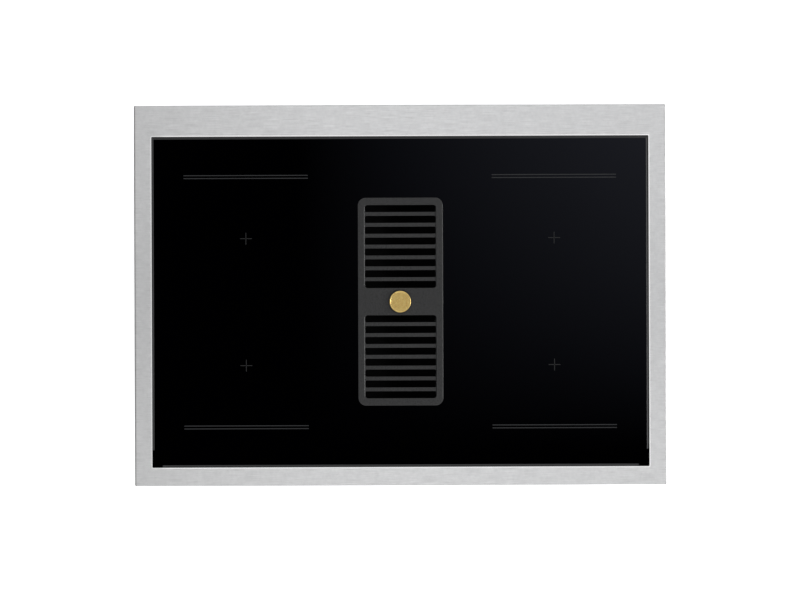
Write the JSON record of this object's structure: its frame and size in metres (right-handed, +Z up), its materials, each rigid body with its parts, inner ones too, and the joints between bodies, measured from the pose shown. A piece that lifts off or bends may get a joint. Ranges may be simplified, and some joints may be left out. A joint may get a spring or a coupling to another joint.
{
  "type": "induction range cooker",
  "caption": "Free-standing range cooker with a steel worktop, black induction glass, central extraction grille, front knobs, oven door and drawer.",
  "frame": {"origin": "on the floor under the middle of the worktop", "axes": "+Z up, +X to the right seen from the front, the front faces -Y"},
  "size_m": [0.9, 0.644, 0.9133],
  "materials": {
    "worktop_steel": "fine brushed stainless steel",
    "hob_glass": "black ceramic glass, polished",
    "seal_rubber": "dark grey silicone",
    "tray_steel": "plain pressed sheet",
    "coil_copper": "lacquered copper winding",
    "board_green": "circuit board",
    "galvanised": "galvanised sheet steel",
    "blower_plastic": "moulded dark plastic",
    "motor_metal": "painted motor shell",
    "panel_steel": "brushed stainless steel",
    "frame_enamel": "black enamel",
    "display_glass": "black glass",
    "oven_enamel": "speckled vitreous enamel",
    "mineral_wool": "mineral wool",
    "rack_chrome": "bright plated wire",
    "heater_sheath": "heat-darkened tube",
    "lamp_glass": "moulded lamp lens",
    "door_seal": "woven heat seal",
    "leg_steel": "brushed tube",
    "box_plastic": "moulded plastic",
    "screw_steel": "plated screws",
    "grille_enamel": "matt grey enamel",
    "grille_brass": "turned brass",
    "filter_steel": "stainless filter mesh",
    "flap_metal": "plain sheet",
    "knob_steel": "turned metal",
    "door_steel": "brushed stainless steel",
    "door_glass": "tinted glass",
    "hinge_steel": "plated steel",
    "drawer_sheet": "grey painted sheet",
    "foot_plastic": "moulded plastic"
  },
  "bodies": {
    "root": {"worktop_frame": "worktop_steel", "glass_top": "hob_glass", "glass_seal": "seal_rubber", "coil_trays": "tray_steel", "induction_coils": "coil_copper", "power_boards": "board_green", "extraction_plenum": "galvanised", "rear_duct": "galvanised", "blower_housing": "blower_plastic", "outlet_spigot": "galvanised", "fan_motors": "motor_metal", "left_side_panel": "panel_steel", "right_side_panel": "panel_steel", "back_panel": "galvanised", "base_panel": "galvanised", "front_frame": "frame_enamel", "control_panel": "panel_steel", "knob_encoders": "blower_plastic", "clock_display": "display_glass", "oven_cavity": "oven_enamel", "oven_insulation": "mineral_wool", "rack_supports": "rack_chrome", "grill_element": "heater_sheath", "ring_elements": "heater_sheath", "fan_cover": "oven_enamel", "oven_lamps": "lamp_glass", "door_gasket": "door_seal", "hinge_receivers": "galvanised", "drawer_rails": "galvanised", "legs": "leg_steel", "terminal_box": "box_plastic", "panel_screws": "screw_steel"},
    "grille": {"extraction_grille": "grille_enamel", "grille_knob": "grille_brass", "filter_cassette": "filter_steel"},
    "blower_wheel": {"blower_impeller": "blower_plastic"},
    "duct_flap": {"backdraft_flap": "flap_metal"},
    "oven_fan_left": {"convection_fan_left": "flap_metal"},
    "oven_fan_right": {"convection_fan_right": "flap_metal"},
    "cooling_rotor": {"cooling_fan": "blower_plastic"},
    "knob_1": {"knob_zone_front_left": "knob_steel"},
    "knob_2": {"knob_zone_rear_left": "knob_steel"},
    "knob_3": {"knob_oven_mode": "knob_steel"},
    "knob_4": {"knob_oven_heat": "knob_steel"},
    "knob_5": {"knob_zone_rear_right": "knob_steel"},
    "knob_6": {"knob_zone_front_right": "knob_steel"},
    "door": {"door_frame": "door_steel", "door_liner": "oven_enamel", "door_outer_glass": "door_glass", "door_inner_glass": "door_glass", "door_handle": "door_steel", "door_hinges": "hinge_steel"},
    "drawer": {"drawer_front": "door_steel", "drawer_box": "drawer_sheet"},
    "rack": {"wire_rack": "rack_chrome"},
    "tray": {"oven_tray": "oven_enamel"},
    "foot_fl": {"foot_front_left": "foot_plastic"},
    "foot_fr": {"foot_front_right": "foot_plastic"},
    "foot_rl": {"foot_rear_left": "foot_plastic"},
    "foot_rr": {"foot_rear_right": "foot_plastic"}
  },
  "joints": [
    {"name": "door_hinge", "type": "hinge", "parent": "root", "child": "door", "pos_m": [0, -0.237, 0.276], "axis": [1, 0, 0], "range_deg": [0, 90], "stiffness_Nm_per_rad": 8, "springref_deg": -20.05},
    {"name": "drawer_slide", "type": "slide", "parent": "root", "child": "drawer", "axis": [0, -1, 0], "range_m": [0, 0.22]},
    {"name": "grille_lift", "type": "slide", "parent": "root", "child": "grille", "axis": [0, 0, 1], "range_m": [0, 0.12]},
    {"name": "flap_swing", "type": "hinge", "parent": "root", "child": "duct_flap", "pos_m": [0, 0.17085, 0.8695], "axis": [1, 0, 0], "range_deg": [0, 75]},
    {"name": "blower_spin", "type": "hinge", "parent": "root", "child": "blower_wheel", "pos_m": [0, 0.1945, 0.18], "axis": [0, 0, 1], "continuous": true},
    {"name": "oven_fan_left_spin", "type": "hinge", "parent": "root", "child": "oven_fan_left", "pos_m": [-0.15, 0.168, 0.499], "axis": [0, 1, 0], "continuous": true},
    {"name": "oven_fan_right_spin", "type": "hinge", "parent": "root", "child": "oven_fan_right", "pos_m": [0.15, 0.168, 0.499], "axis": [0, 1, 0], "continuous": true},
    {"name": "cooling_fan_spin", "type": "hinge", "parent": "root", "child": "cooling_rotor", "pos_m": [-0.25, 0.272, 0.795], "axis": [0, 1, 0], "continuous": true},
    {"name": "zone_front_left_turn", "type": "hinge", "parent": "root", "child": "knob_1", "pos_m": [-0.32, -0.272, 0.802], "axis": [0, 1, 0], "range_deg": [0, 270]},
    {"name": "zone_rear_left_turn", "type": "hinge", "parent": "root", "child": "knob_2", "pos_m": [-0.225, -0.272, 0.802], "axis": [0, 1, 0], "range_deg": [0, 270]},
    {"name": "oven_mode_turn", "type": "hinge", "parent": "root", "child": "knob_3", "pos_m": [-0.13, -0.272, 0.802], "axis": [0, 1, 0], "range_deg": [0, 315]},
    {"name": "oven_heat_turn", "type": "hinge", "parent": "root", "child": "knob_4", "pos_m": [0.13, -0.272, 0.802], "axis": [0, 1, 0], "range_deg": [0, 270]},
    {"name": "zone_rear_right_turn", "type": "hinge", "parent": "root", "child": "knob_5", "pos_m": [0.225, -0.272, 0.802], "axis": [0, 1, 0], "range_deg": [0, 270]},
    {"name": "zone_front_right_turn", "type": "hinge", "parent": "root", "child": "knob_6", "pos_m": [0.32, -0.272, 0.802], "axis": [0, 1, 0], "range_deg": [0, 270]},
    {"name": "rack_slide", "type": "slide", "parent": "root", "child": "rack", "axis": [0, -1, 0], "range_m": [0, 0.01]},
    {"name": "tray_slide", "type": "slide", "parent": "root", "child": "tray", "axis": [0, -1, 0], "range_m": [0, 0.01]},
    {"name": "foot_front_left_screw", "type": "slide", "parent": "root", "child": "foot_fl", "axis": [0, 0, -1], "range_m": [0, 0.03]},
    {"name": "foot_front_right_screw", "type": "slide", "parent": "root", "child": "foot_fr", "axis": [0, 0, -1], "range_m": [0, 0.03]},
    {"name": "foot_rear_left_screw", "type": "slide", "parent": "root", "child": "foot_rl", "axis": [0, 0, -1], "range_m": [0, 0.03]},
    {"name": "foot_rear_right_screw", "type": "slide", "parent": "root", "child": "foot_rr", "axis": [0, 0, -1], "range_m": [0, 0.03]}
  ]
}
